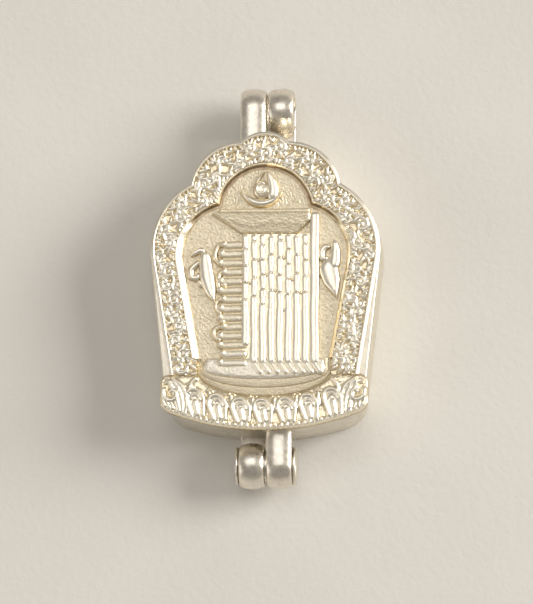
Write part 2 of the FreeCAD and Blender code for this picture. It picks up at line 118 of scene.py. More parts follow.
def unit(degrees):
    """The unit vector at an angle."""
    return np.array([math.cos(math.radians(degrees)), math.sin(math.radians(degrees))])


def stacked(*coordinates):
    """Points from coordinates that are arrays or single numbers."""
    return np.stack(np.broadcast_arrays(*coordinates), -1)


def line(start, end, step=EDGE_STEP):
    """Points from start up to, but not including, end."""
    start, end = np.array(start, float), np.array(end, float)
    count = max(1, round(np.linalg.norm(end - start) / step))
    return start + (end - start) * (np.arange(count) / count)[:, None]


def bulge(start, end, sag, step=EDGE_STEP):
    """Points of an arc from start up to, but not including, end; positive sag bulges to the left."""
    start, end = np.array(start, float), np.array(end, float)
    chord = np.linalg.norm(end - start)
    along = (end - start) / chord
    side = np.array([-along[1], along[0]]) * np.sign(sag)
    radius = (chord ** 2 / 4 + sag ** 2) / (2 * abs(sag))
    centre = (start + end) / 2 + side * (abs(sag) - radius)
    half = math.asin(min(1.0, chord / 2 / radius))
    count = max(2, round(2 * half * radius / step))
    angle = np.linspace(-half, half, count + 1)[:-1, None]
    return centre + radius * (side * np.cos(angle) + along * np.sin(angle))


def circle_arc(centre, radius, start, end, step=EDGE_STEP):
    """Points on a circle from one angle up to, but not including, another, in degrees."""
    count = max(2, round(abs(math.radians(end - start)) * radius / step))
    angle = np.radians(np.linspace(start, end, count + 1)[:-1])
    return np.array(centre) + radius * stacked(np.cos(angle), np.sin(angle))


def shoulder_run(lean_angle, shrink, foot_y, step):
    """Right half of the lobed outline, from the straight side at foot_y up to the apex."""
    centre = np.array([CASE_HALF - SHOULDER_R, SHOULDER_Y])
    radius = SHOULDER_R - shrink
    top = math.degrees(math.asin((CUSP_Y - shrink - centre[1]) / radius))
    side = centre + radius * unit(-lean_angle)
    cusp = centre + radius * unit(top)
    lobe = np.array(LOBE_END) - shrink
    foot = (side[0] - (side[1] - foot_y) * math.tan(math.radians(lean_angle)), foot_y)
    crown = bulge(lobe, (-lobe[0], lobe[1]), -(APEX_Y - shrink - lobe[1]), step)
    return np.concatenate([
        line(foot, side, step),
        circle_arc(centre, radius, -lean_angle, top, step),
        bulge(cusp, lobe, -LOBE_SAG, step),
        crown[crown[:, 0] > step / 3],
        [[0, APEX_Y - shrink]],
    ])


def case_outline():
    """The whole case outline, anticlockwise from the middle of the foot."""
    centre_y = FOOT_Y + FOOT_R
    end_angle = -math.degrees(math.acos(CORNER_END_X / FOOT_R))
    upper = shoulder_run(SIDE_ANGLE, 0, CORNER_Y, EDGE_STEP)
    foot = circle_arc((0, centre_y), FOOT_R, -90, end_angle)
    end = (CORNER_END_X, centre_y + FOOT_R * math.sin(math.radians(end_angle)))
    right = np.concatenate([foot, bulge(end, upper[0], -CORNER_SAG), upper])
    left = right[1:-1][::-1] * [-1, 1]
    return np.concatenate([right, left])


def field_run(grow=0.0, step=0.05):
    """Right half of the sunk field's outline, from its foot up to the top of its arch."""
    arch, lobe = np.array([0, ARCH_Y]), np.array([LOBE_X, RAY_Y])
    arch_r, lobe_r = ARCH_R + grow, LOBE_R + grow
    gap = arch - lobe
    distance = np.linalg.norm(gap)
    reach = (lobe_r ** 2 - arch_r ** 2 + distance ** 2) / (2 * distance)
    rise = math.sqrt(lobe_r ** 2 - reach ** 2)
    along = gap / distance
    cusp = lobe + along * reach + np.array([along[1], -along[0]]) * rise
    side = lobe + lobe_r * unit(-FIELD_ANGLE)
    foot = (side[0] - (side[1] - FIELD_BOTTOM_Y) * math.tan(math.radians(FIELD_ANGLE)), FIELD_BOTTOM_Y)
    lobe_end = math.degrees(math.atan2(*(cusp - lobe)[::-1]))
    arch_start = math.degrees(math.atan2(*(cusp - arch)[::-1]))
    return np.concatenate([
        line(foot, side, step),
        circle_arc(lobe, lobe_r, -FIELD_ANGLE, lobe_end, step),
        circle_arc(arch, arch_r, arch_start, 90, step),
        [[0, ARCH_Y + arch_r]],
    ])


def along_rays(half_run, foot_y):
    """Where evenly spaced rays meet the right half of an outline, with their mirror images: level rays below
    RAY_Y and a fan from (0, RAY_Y) above it. They run from the left foot over the top to the right foot."""
    levels = np.arange(foot_y, RAY_Y, FINE)
    angles = np.radians(np.linspace(0, 90, 250))
    low = half_run[half_run[:, 1] <= RAY_Y + 1]
    sides = stacked(np.interp(levels, low[:, 1], low[:, 0]), levels)
    offset = half_run - [0, RAY_Y]
    bearing = np.arctan2(offset[:, 1], offset[:, 0])
    reach = np.interp(angles, bearing, np.hypot(*offset.T))
    fan = stacked(reach * np.cos(angles), RAY_Y + reach * np.sin(angles))
    right = np.concatenate([sides, fan])
    return np.concatenate([right * [-1, 1], right[:-1][::-1]])


def spiral(centre, radius, turns, start, side=1, tail=0.2):
    """A curl that winds in from a radius to tail times that radius, starting at an angle in degrees."""
    share = np.linspace(0, 1, max(8, int(18 * turns)))
    angle = math.radians(start) + side * 2 * math.pi * turns * share
    reach = radius * (1 - (1 - tail) * share)
    return np.array(centre) + stacked(reach * np.cos(angle), reach * np.sin(angle))


def smooth_path(points, count):
    """A curve through given points (Catmull-Rom)."""
    p = np.array(points, float)
    p = np.concatenate([[2 * p[0] - p[1]], p, [2 * p[-1] - p[-2]]])
    out = []
    for u in np.linspace(0, len(p) - 3 - 1e-9, count):
        i, t = int(u), u % 1
        a, b, c, d = p[i:i + 4]
        out.append(0.5 * (2 * b + (c - a) * t + (2 * a - 5 * b + 4 * c - d) * t ** 2
                          + (3 * b - a - 3 * c + d) * t ** 3))
    return np.array(out)


# -------------------- height map

class Relief:
    """A height map over a rectangle of the face."""

    def __init__(self, low, high, step=0.04):
        self.low, self.step = np.array(low, float), step
        columns, rows = np.ceil((np.array(high) - low) / step).astype(int) + 1
        self.xs = low[0] + step * np.arange(columns)
        self.ys = low[1] + step * np.arange(rows)
        self.z = np.zeros((rows, columns))

    def stroke(self, path, radius, lift):
        """Raises a round-topped ridge along a path; radius is one number or one per point."""
        path = np.array(path, float)
        radius = np.broadcast_to(np.asarray(radius, float), len(path))
        margin = radius.max() + self.step
        c0, r0 = np.maximum(((path.min(0) - margin - self.low) / self.step).astype(int), 0)
        c1, r1 = ((path.max(0) + margin - self.low) / self.step).astype(int) + 2
        xs, ys = np.meshgrid(self.xs[c0:c1], self.ys[r0:r1])
        if not xs.size:
            return
        nearest = np.full(xs.shape, np.inf)
        for a, b, ra, rb in zip(path[:-1], path[1:], radius[:-1], radius[1:]):
            d = b - a
            u = np.clip(((xs - a[0]) * d[0] + (ys - a[1]) * d[1]) / max(d @ d, 1e-9), 0, 1)
            gap = np.hypot(xs - a[0] - u * d[0], ys - a[1] - u * d[1])
            nearest = np.minimum(nearest, gap / (ra + (rb - ra) * u))
        height = lift * np.sqrt(np.clip(1 - nearest ** 2, 0, 1))
        window = self.z[r0:r1, c0:c1]
        window[nearest < 1] = np.maximum(window, height)[nearest < 1]

    def add_grain(self, depth, width):
        """Adds seeded random grain whose features are about width across."""
        self.z += depth * grain(self.z.shape, width / self.step)

    def sample(self, x, y):
        """The height at each place, interpolated."""
        u = np.clip((x - self.low[0]) / self.step, 0, self.z.shape[1] - 1.001)
        v = np.clip((y - self.low[1]) / self.step, 0, self.z.shape[0] - 1.001)
        i, j = u.astype(int), v.astype(int)
        fu, fv = u - i, v - j
        z = self.z
        low = z[j, i] * (1 - fu) + z[j, i + 1] * fu
        high = z[j + 1, i] * (1 - fu) + z[j + 1, i + 1] * fu
        return low * (1 - fv) + high * fv


def grain(shape, cells):
    """Smooth seeded noise, about -1 to 1, with features that many cells across."""
    noise = rng.standard_normal(shape)
    for _ in range(3):
        width = max(1, int(cells / 3))
        for axis in (0, 1):
            total = noise.copy()
            for shift in range(1, width + 1):
                total += np.roll(noise, shift, axis)
            noise = total
    return noise / (2.2 * noise.std())


# -------------------- solids

def quads(*corners):
    """Four-sided faces from four arrays of point numbers."""
    return stacked(*corners).reshape(-1, 4).tolist()


def closed_grid(top, base_z):
    """A closed solid under a grid of surface points: skirts down to base_z and a plain underside."""
    rows, columns = top.shape[:2]
    left, right = top[:, 0].copy(), top[:, -1].copy()
    left[:, 2] = base_z
    right[:, 2] = base_z
    verts = np.concatenate([top.reshape(-1, 3), left, right])
    index = np.arange(rows * columns).reshape(rows, columns)
    lefts = rows * columns + np.arange(rows)
    rights = lefts + rows
    here, there = slice(None, -1), slice(1, None)
    faces = quads(index[here, :-1], index[here, 1:], index[there, 1:], index[there, :-1])
    faces += quads(index[here, 0], index[there, 0], lefts[there], lefts[here])
    faces += quads(index[here, -1], rights[here], rights[there], index[there, -1])
    faces += quads(lefts[here], lefts[there], rights[there], rights[here])
    faces.append([int(lefts[0]), int(rights[0])] + index[0, ::-1].tolist())
    faces.append([int(rights[-1]), int(lefts[-1])] + index[-1].tolist())
    return verts, faces


def tube(rings, wrap=False):
    """A closed solid through a row of closed rings of points."""
    rows, around = rings.shape[:2]
    index = np.arange(rows * around).reshape(rows, around)
    here = np.arange(rows if wrap else rows - 1)
    there = (here + 1) % rows
    turned = np.roll(index, -1, 1)
    faces = quads(index[here], turned[here], turned[there], index[there])
    if not wrap:
        faces.append(index[0, ::-1].tolist())
        faces.append(index[-1].tolist())
    return rings.reshape(-1, 3), faces


def joined(shells):
    """Several solids as one list of points and one of faces."""
    points, polygons, offset = [], [], 0
    for verts, faces in shells:
        points.append(verts)
        polygons += [[i + offset for i in face] for face in faces]
        offset += len(verts)
    return np.concatenate(points), polygons


def strip(left, right, spread, height, base=-SUNK):
    """A solid between two matching runs of points. spread holds the places across, 0 to 1, and height gives
    the height over the face sheet from x, y and the place across."""
    xy = left[:, None] + (right - left)[:, None] * spread[None, :, None]
    across = np.broadcast_to(spread, xy.shape[:2])
    z = FACE_Z + height(xy[..., 0], xy[..., 1], across)
    return closed_grid(stacked(xy[..., 0], xy[..., 1], z), FACE_Z + base)


def full_turn(count):
    """Evenly spaced angles round a circle."""
    return np.radians(np.linspace(0, 360, count, endpoint=False))


def even(count):
    return np.linspace(0, 1, count)


def eased(count):
    """Places from 0 to 1, closer together at both ends, for rounded edges."""
    return (1 - np.cos(np.pi * even(count))) / 2


def eased_at(place):
    """A smooth step from 0 to 1."""
    place = np.clip(place, 0, 1)
    return place * place * (3 - 2 * place)


def rounding(distance, radius):
    """How far a rounded edge has risen at a distance in from it, 0 to 1."""
    return np.sqrt(np.clip(1 - (1 - np.clip(distance / radius, 0, 1)) ** 2, 0, 1))


RIDGE_SIDE = 0.35        # share of a bar's height at which its rounded top starts
BAR_SUNK = 0.1


def ridge(path, half_width, top, base, columns=11, blunt=0.5, crown=1.0):
    """A bar with a rounded top along a path, tapering to rounded ends. Its half width and its top may vary. A
    crown under 1 makes it flatter, and blunt is the share of its height that the ends keep."""
    path = np.array(path, float)
    step = np.gradient(path, axis=0)
    step /= np.maximum(np.linalg.norm(step, axis=1), 1e-9)[:, None]
    side = stacked(-step[:, 1], step[:, 0])
    run = np.concatenate([[0], np.cumsum(np.linalg.norm(np.diff(path, axis=0), axis=1))])
    half_width = np.broadcast_to(np.asarray(half_width, float), len(path))
    from_end = np.minimum(run, run[-1] - run)
    end = np.maximum(rounding(from_end, half_width.max()), 0.08)
    wide = half_width * end
    rise = (np.asarray(top, float) - base) * (blunt + (1 - blunt) * end)
    angle = np.pi * even(columns)
    offset = -np.cos(angle)
    xy = path[:, None] - side[:, None] * (offset[None, :, None] * wide[:, None, None])
    section = RIDGE_SIDE + (1 - RIDGE_SIDE) * np.clip(np.sin(angle), 0, 1) ** crown
    z = FACE_Z + base + rise[:, None] * section[None]
    return closed_grid(np.dstack([xy, z]), FACE_Z + base - BAR_SUNK)


def dome(x, y, radius, top, base, rings=7, around=20, squash=1.0):
    """A low round boss."""
    angle = full_turn(around)
    tilts = np.linspace(0, math.pi / 2 * 0.94, rings)
    levels = [(radius, -BAR_SUNK)]
    levels += [(radius * math.cos(tilt), (top - base) * math.sin(tilt)) for tilt in tilts]
    return tube(np.array([stacked(x + reach * np.cos(angle), y + squash * reach * np.sin(angle),
                                  FACE_Z + base + rise) for reach, rise in levels]))


def add_object(name, data):
    """Makes an object and links it to the scene."""
    obj = bpy.data.objects.new(name, data)
    bpy.context.scene.collection.objects.link(obj)
    return obj


def piece(name, shell, body, material, stands_for=(), shade_and_wear=(0.0, 1.0), sharp=38):
    """Makes an object from a solid. Its pair of tone heights gives where the metal is darkest, with patina
    and painted shade in the hollows, and where it is brightest, rubbed, and an edge is sharp where its faces
    meet at more than that many degrees."""
    verts, faces = shell
    mesh = bpy.data.meshes.new(name)
    mesh.from_pydata((verts * MM).tolist(), [], faces)
    mesh.validate()
    mesh.polygons.foreach_set("use_smooth", np.ones(len(mesh.polygons), bool))
    mesh.set_sharp_from_angle(angle=math.radians(sharp))
    # Low points get the dark tones, patina and painted shade; high points get the bright, rubbed tones.
    rubbed_and_lit = np.clip((verts[:, 2] - FACE_Z - shade_and_wear[0]) / (shade_and_wear[1] - shade_and_wear[0]), 0, 1)
    layer = mesh.attributes.new("rubbed_and_lit", "FLOAT", "POINT")
    layer.data.foreach_set("value", rubbed_and_lit.astype(np.float32))
    mesh.materials.append(material)
    obj = add_object(name, mesh)
    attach(obj, body)
    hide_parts(*stands_for)


def relief_piece(name, shell, material, stands_for, shade_and_wear, sharp=38):
    """A piece of the face, which is on the cover and of cast silver."""
    piece(name, shell, "cover", material, stands_for, shade_and_wear, sharp)


# -------------------- materials

def nodes_of(material):
    material.use_nodes = True
    tree = material.node_tree
    tree.nodes.clear()
    shader = tree.nodes.new("ShaderNodeBsdfPrincipled")
    output = tree.nodes.new("ShaderNodeOutputMaterial")
    tree.links.new(shader.outputs["BSDF"], output.inputs["Surface"])
    return tree, shader


def noise(tree, size_mm, detail=3.0, stretch=(1, 1, 1)):
    """A noise texture in object space whose features are about size_mm across."""
    place = tree.nodes.new("ShaderNodeTexCoord")
    mapping = tree.nodes.new("ShaderNodeMapping")
    mapping.inputs["Scale"].default_value = stretch
    texture = tree.nodes.new("ShaderNodeTexNoise")
    texture.inputs["Scale"].default_value = 1 / (size_mm * MM)
    texture.inputs["Detail"].default_value = detail
    tree.links.new(place.outputs["Object"], mapping.inputs["Vector"])
    tree.links.new(mapping.outputs["Vector"], texture.inputs["Vector"])
    return texture.outputs["Fac"]


def ramp(tree, source, stops):
    """A colour ramp from (place, colour) pairs."""
    node = tree.nodes.new("ShaderNodeValToRGB")
    elements = node.color_ramp.elements
    while len(elements) < len(stops):
        elements.new(0.5)
    for element, (place, colour) in zip(elements, stops):
        element.position = place
        element.color = (*colour, 1)
    tree.links.new(source, node.inputs["Fac"])
    return node.outputs["Color"]


def math_node(tree, operation, a, b):
    node = tree.nodes.new("ShaderNodeMath")
    node.operation = operation
    for socket, value in zip(node.inputs, (a, b)):
        if isinstance(value, (int, float)):
            socket.default_value = value
        else:
            tree.links.new(value, socket)
    return node.outputs["Value"]


def remap(tree, source, low, high, to_low, to_high):
    node = tree.nodes.new("ShaderNodeMapRange")
    for name, value in (("From Min", low), ("From Max", high), ("To Min", to_low), ("To Max", to_high)):
        node.inputs[name].default_value = value
    tree.links.new(source, node.inputs["Value"])
    return node.outputs["Result"]


def bump(tree, shader, layers):
    """Stacks bump layers given as (height source, depth in mm)."""
    normal = None
    for source, depth in layers:
        node = tree.nodes.new("ShaderNodeBump")
        node.inputs["Distance"].default_value = depth * MM
        tree.links.new(source, node.inputs["Height"])
        if normal:
            tree.links.new(normal, node.inputs["Normal"])
        normal = node.outputs["Normal"]
    tree.links.new(normal, shader.inputs["Normal"])


# Tones of the silver from its hollows to its rubbed tops: the darker ones at the low end stand for the patina
# in the hollows and also paint shade there.
BRIGHT = (0.97, 0.915, 0.79)
SILVER = (0.90, 0.80, 0.60)
DULL = (0.62, 0.51, 0.34)
TARNISH_AND_SHADE = (0.30, 0.22, 0.14)
STIPPLE = (0.82, 0.72, 0.52)
SHEET_TONES = ((0.64, 0.59, 0.5), (0.76, 0.71, 0.61), (0.87, 0.82, 0.7))
POLISHED_TONES = ((0.52, 0.46, 0.39), (0.78, 0.73, 0.65), (0.9, 0.84, 0.72))
FLOOR_TONES = ((0.74, 0.72, 0.68), (0.79, 0.77, 0.735))
CLOUD_MM, SPOT_MM, SCRATCH_MM, WAVE_MM = 0.9, 0.5, 0.12, 3.5
CLOUD_SHARE, WAVE_DEPTH = 0.1, 0.03


def silver(name, rough, stops, grain_mm, grain_depth, scratch_depth=0.0, follows_height=True):
    """Worked silver. Its tone follows the stops from the hollows, dark with patina and painted shade, to
    rubbed ridges, or a cloudy noise only.
    rough is its range of roughness, and depths are in millimetres."""
    material = bpy.data.materials.new(name)
    tree, shader = nodes_of(material)
    cloud = noise(tree, CLOUD_MM, 4)
    if follows_height:
        height = tree.nodes.new("ShaderNodeAttribute")
        height.attribute_name = "rubbed_and_lit"
        shade = remap(tree, cloud, 0.3, 0.7, -CLOUD_SHARE, CLOUD_SHARE)
        share = math_node(tree, "ADD", height.outputs["Fac"], shade)
    else:
        share = remap(tree, cloud, 0.25, 0.75, 0.25, 1.0)
    tree.links.new(ramp(tree, share, stops), shader.inputs["Base Color"])
    shader.inputs["Metallic"].default_value = 1.0
    tree.links.new(remap(tree, noise(tree, SPOT_MM, 5), 0.3, 0.75, *rough), shader.inputs["Roughness"])
    layers = [(noise(tree, grain_mm, 4), grain_depth)]
    if scratch_depth:
        layers.append((noise(tree, SCRATCH_MM, 2, (0.06, 1, 1)), scratch_depth))
        layers.append((noise(tree, WAVE_MM, 1), WAVE_DEPTH))
    bump(tree, shader, layers)
    return material


def floor_material():
    material = bpy.data.materials.new("pale_floor")
    tree, shader = nodes_of(material)
    tone = ramp(tree, noise(tree, 25, 5), list(zip((0.3, 0.7), FLOOR_TONES)))
    tree.links.new(tone, shader.inputs["Base Color"])
    shader.inputs["Roughness"].default_value = 0.85
    bump(tree, shader, [(noise(tree, 0.8, 6), 0.05)])
    return material


cast = silver("cast_silver", (0.26, 0.38), [(0.0, TARNISH_AND_SHADE), (0.3, DULL), (0.62, SILVER), (1.0, BRIGHT)],
              0.22, 0.018)
smooth_cast = silver("smooth_cast_silver", (0.28, 0.4), [(0.0, DULL), (0.45, SILVER), (1.0, BRIGHT)],
                     0.35, 0.014, 0.004)
matted = silver("matted_silver", (0.38, 0.46), [(0.0, STIPPLE), (0.4, SILVER), (1.0, BRIGHT)], 0.2, 0.06)
sheet = silver("sheet_silver", (0.3, 0.4), list(zip((0.0, 0.5, 1.0), SHEET_TONES)), 0.5, 0.01, 0.006,
               follows_height=False)
polished = silver("polished_silver", (0.24, 0.38), list(zip((0.0, 0.45, 1.0), POLISHED_TONES)), 0.4, 0.008,
                  0.005, follows_height=False)


# -------------------- case

def inward(outline):
    """Unit normals that point into an anticlockwise outline."""
    step = np.roll(outline, -1, 0) - np.roll(outline, 1, 0)
    step /= np.linalg.norm(step, axis=1)[:, None]
    return stacked(-step[:, 1], step[:, 0])


def ring_of(outline, profile):
    """Sweeps a closed (inset, z) profile round the outline."""
    normal = inward(outline)
    rows = [stacked(*(outline + normal * inset).T, z) for inset, z in profile]
    return tube(np.stack(rows, 1), wrap=True)


def sheet_of(outline, profile):
    """A plate whose edge follows an open (inset, z) profile from its underside to its top."""
    normal = inward(outline)
    loops = [stacked(*(outline + normal * inset).T, z) for inset, z in profile]
    return tube(np.stack(loops))


def corner(inset, z, radius, start, end, count=5):
    """Points of a rounded corner centred at (inset, z), in degrees."""
    angle = np.radians(np.linspace(start, end, count))
    return [(inset + radius * math.cos(a), z + radius * math.sin(a)) for a in angle]


def wall(outline, thickness, low, high, low_radius, high_radius):
    """A band of sheet metal that follows the outline, with rounded outer edges."""
    profile = corner(low_radius, low + low_radius, low_radius, 270, 180)
    profile += [(0, (low * 2 + high) / 3), (0, (low + high * 2) / 3)]
    profile += corner(high_radius, high - high_radius, high_radius, 180, 90)
    profile += [(thickness, high), (thickness, low)]
    return ring_of(outline, profile)


def build_case():
    """The two sheets, the two side bands and the collar's material."""
    outline = case_outline()
    face_edge = corner(HIDDEN_R, PLATE_LOW_Z + HIDDEN_R, HIDDEN_R, 270, 180, 3)
    face_edge += corner(FACE_EDGE_R, FACE_Z - FACE_EDGE_R, FACE_EDGE_R, 180, 90)
    back_edge = corner(BACK_EDGE_R, BACK_EDGE_R, BACK_EDGE_R, 270, 180, 7)
    back_edge += corner(HIDDEN_R, BACK_PLATE_Z - HIDDEN_R, HIDDEN_R, 180, 90, 3)
    front_band = wall(outline, FRONT_WALL, PARTING_Z, PLATE_LOW_Z, EDGE_R, HIDDEN_R)
    back_band = wall(outline, BACK_WALL, BACK_PLATE_Z, BACK_RIM_Z, HIDDEN_R, EDGE_R)
    for name, shell, body, node in (("cover_band", front_band, "cover", "front_wall"),
                                    ("back_band", back_band, "back_half", "back_wall"),
                                    ("cover_sheet", sheet_of(outline, face_edge), "cover", "front_plate"),
                                    ("back_sheet", sheet_of(outline, back_edge), "back_half", "back_plate")):
        piece(name, shell, body, sheet, [node])
    collar_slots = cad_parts["inner_collar"].data.materials
    collar_slots.clear()
    collar_slots.append(sheet)


# -------------------- frame round the face

def build_rim():
    """The plain wire round the frame. Gives the row of points along its inside."""
    edge = along_rays(shoulder_run(WAIST_ANGLE, FRAME_INSET, BASE_TOP_Y - 0.2, 0.05), FRAME_FOOT_Y)
    to_middle = stacked(-edge[:, 0], np.minimum(RAY_Y - edge[:, 1], 0))
    to_middle /= np.linalg.norm(to_middle, axis=1)[:, None]
    inside = edge + to_middle * RIM_W

    def height(x, y, t):
        falling = 0.15 * np.clip((t - 0.3) / 0.7, 0, 1) ** 1.25
        rising = 0.12 * np.clip((0.3 - t) / 0.3, 0, 1) ** 2
        rounded = 0.2 * np.clip((t - 0.94) / 0.06, 0, 1)
        return RIM_TOP - falling - rising - rounded

    piece("outer_rim_wire", strip(inside, edge, eased(13), height),
          "cover", smooth_cast, ["outer_rim"], shade_and_wear=(-0.3, 0.7))
    return inside


def bevel_rows(foot_y, foot=()):
    """The bevel's inner and outer rows: wide on the left, narrower on the right and between the two round the
    arch. foot holds points that the outline runs through below the field."""
    foot = np.array(foot).reshape(-1, 2)
    inner, outer = (along_rays(np.concatenate([foot, field_run(grow)]), foot_y) for grow in (0.0, BEVEL_W))
    side = np.where(inner[:, 0] < 0, 1.0, BEVEL_RIGHT)
    share = side - (side - BEVEL_ARCH) * eased_at((inner[:, 1] - 3.5) / 4.0)
    return inner, inner + (outer - inner) * share[:, None]


def build_bevel():
    """The smooth band round the field: a slope at the sides, and a low groove under a step round the arch."""
    inner, outer = bevel_rows(FIELD_BOTTOM_Y)

    def height(x, y, t):
        slope = 0.52 * np.clip(t / 0.86, 0, 1) ** 0.85
        side = 0.26 + 0.1 * rounding(t, 0.12) + slope - 0.12 * np.clip((t - 0.9) / 0.1, 0, 1)
        step = 0.165 + 0.455 * eased_at((t - 0.5) / 0.42)
        arch = eased_at((y - 5.4) / 1.8)
        return side + (step - side) * arch

    # The tone heights here leave the low groove round the arch dark: painted shade in that channel, with its
    # patina.
    relief_piece("inner_bevel", strip(inner, outer, eased(12), height), cast,
                 ["inner_bezel"], shade_and_wear=(0.14, 0.6))


def paint_curl(relief, centre, side):
    """A spiral shoot with an eye in its middle and six small leaves round it."""
    radius = 0.66 + rng.normal(0, 0.06)
    start = rng.uniform(0, 360)
    curl = spiral(centre, radius, 1.2 + rng.normal(0, 0.12), start, side)
    relief.stroke(curl, np.linspace(0.3, 0.18, len(curl)), 0.34)
    relief.stroke([centre, centre + 0.01], 0.2, 0.34)
    for lobe in range(6):
        turn = math.radians(start) + side * lobe * 0.95
        aim = np.array([math.cos(turn), math.sin(turn)])
        bend = np.array([-aim[1], aim[0]]) * side * -0.34
        leaf = [centre + aim * radius * 0.8, centre + aim * (radius + 0.2) + bend * 0.5,
                centre + aim * (radius + 0.55) + bend * 1.5]
        relief.stroke(smooth_path(leaf, 6), [0.12, 0.18, 0.21, 0.2, 0.14, 0.06], rng.uniform(0.26, 0.42))


def foliage_relief(inner, outer):
    """Paints the border's vine, its curls and the leaves along its edges."""
    relief = Relief((-13.2, -11.2), (13.2, 17.2))
    middle = (inner + outer) / 2
    run = np.concatenate([[0], np.cumsum(np.linalg.norm(np.diff(middle, axis=0), axis=1))])

    def place(distance, across):
        """Points at a distance along the border and a share of the way across it."""
        near, far = (stacked(*(np.interp(distance, run, axis) for axis in row.T)) for row in (inner, outer))
        return near + (far - near) * np.expand_dims(across, -1)

    length = run[-1]
    count = round(length / 1.55)
    pitch = length / count
    distance = np.arange(0, length, 0.12)
    relief.stroke(place(distance, 0.5 + 0.2 * np.sin(np.pi * distance / pitch)), 0.2, 0.24)
    for i in range(count):
        side = 1 if i % 2 else -1
        at = (i + 0.5) * pitch + rng.normal(0, 0.08)
        paint_curl(relief, place(at, 0.5 - side * 0.14 + rng.normal(0, 0.03)), side)
    for edge, inwards in ((0.03, 1), (0.97, -1)):
        for start in np.arange(0.2, length - 0.2, 0.44):
            at = start + rng.normal(0, 0.06)
            reach = inwards * rng.uniform(0.15, 0.25)
            lean = rng.normal(0.12, 0.16)
            leaf = [place(at, edge), place(at + lean, edge + reach * 0.6),
                    place(at + lean * 2.2, edge + reach)]
            relief.stroke(smooth_path(leaf, 6), [0.13, 0.2, 0.24, 0.22, 0.16, 0.06], rng.uniform(0.22, 0.36))
    relief.add_grain(0.012, 0.3)
    return relief


def build_border(outer):
    """The foliage band between the bevel and the outer rim, whose inside is the row outer."""
    foot_x = SEAT_HALF - 0.05
    inner = bevel_rows(FRAME_FOOT_Y, [(foot_x, BASE_TOP_Y - 0.3), (foot_x, FIELD_BOTTOM_Y - 0.35)])[1]
    relief = foliage_relief(inner, outer)

    def height(x, y, t):
        return BORDER_GROUND + relief.sample(x, y)

    relief_piece("border_foliage", strip(inner, outer, even(38), height), cast,
                 ["border_frame", "border_scrolls"], shade_and_wear=(0.3, 0.82), sharp=60)


def build_field():
    """The matted ground of the sunk field, which runs under the bevel."""
    outline = field_run(0.35)
    top_y = outline[:, 1].max() - 0.12
    levels = np.arange(FIELD_BOTTOM_Y - 0.6, top_y, 0.088)
    half = np.interp(levels, outline[:, 1], outline[:, 0])
    ground = Relief((-9.6, -9.4), (9.6, 13.2))
    ground.add_grain(0.045, 0.16)

    def height(x, y, t):
        return FIELD_GROUND + ground.sample(x, y)

    piece("matted_field", strip(stacked(half, levels), stacked(-half, levels), even(200), height, -0.02),
          "cover", matted, shade_and_wear=(0.03, 0.2), sharp=80)


# -------------------- pedestal

def corner_drop(x, half, radius):
    """How far a level edge drops near its ends at -half and half, for rounded corners."""
    over = np.clip(np.abs(x) - (half - radius), 0, radius)
    return radius - np.sqrt(radius ** 2 - over ** 2)


def oval_edge(x, tier):
    """The front edge of a half-oval tier."""
    half, drop = TIERS[tier]
    return SEAT_Y - drop * np.sqrt(np.clip(1 - (x / half) ** 2, 0, 1))


def seat_path(tier):
    """A tier's edge, down its right side, round the oval and up its left side."""
    half, drop = TIERS[tier]
    angle = np.radians(np.linspace(360, 180, 150))
    oval = stacked(half * np.cos(angle), SEAT_Y + drop * np.sin(angle))
    rise = np.linspace(FIELD_BOTTOM_Y, SEAT_Y, 12)[:-1]
    right = stacked(half, rise)
    return np.concatenate([right, oval, right[::-1] * [-1, 1]])


def seat_step(tier, low, high):
    """A step that slopes outwards from the tier above it and has a rounded edge."""
    def height(x, y, t):
        return low + (high - low) * (1 - 0.5 * t ** 1.4) * rounding(1 - t, 0.2)
    return strip(seat_path(tier - 1), seat_path(tier), eased(14), height)


def build_seat():
    """The two half-oval steps and the platform on them, which rises towards its back."""
    steps = [seat_step(*heights) for heights in TIER_HEIGHTS]
    relief_piece("pedestal_steps", joined(steps), matted, ["seat_steps"], shade_and_wear=(0.1, 0.9))

    half = TIERS[0][0]
    xs = half * np.sin(np.linspace(-np.pi / 2, np.pi / 2, 150)) * 0.9995
    ground = Relief((-7, -11.2), (7, -8))
    ground.add_grain(0.03, 0.26)

    def back_edge(x):
        return FIELD_BOTTOM_Y - corner_drop(x, half, PLATFORM_CORNER_R)

    def height(x, y, t):
        edge = rounding(np.minimum(y - oval_edge(x, 0), half - np.abs(x)), 0.55)
        rear = rounding(back_edge(x) - y, 0.8)
        return 0.16 + 0.26 * edge + 0.26 * rear + ground.sample(x, y)

    lower, upper = stacked(xs, oval_edge(xs, 0)), stacked(xs, back_edge(xs))
    relief_piece("pedestal_top", strip(lower, upper, eased(34), height), matted,
                 ["platform"], shade_and_wear=(0.0, 0.6))


def petal_outline(x, top, half, foot):
    """An arch from one foot up over the top and down to the other."""
    angle = np.radians(np.linspace(180, 0, 14))
    arch = stacked(x + half * np.cos(angle), top - half * 1.15 + half * 1.15 * np.sin(angle))
    return np.concatenate([[(x - half * 0.66, foot)], arch, [(x + half * 0.66, foot)]])


def leaning(points, top):
    """Slants points to the right as they go down from a level."""
    points = np.array(points, float)
    points[:, 0] += PETAL_LEAN * (top - points[:, 1])
    return points


def foot_edge(x):
    """The bowed front edge of the petal block, as the relief follows it."""
    return FOOT_Y + (BASE_SIDE_Y - FOOT_Y) * (x / BASE_HALF) ** 2


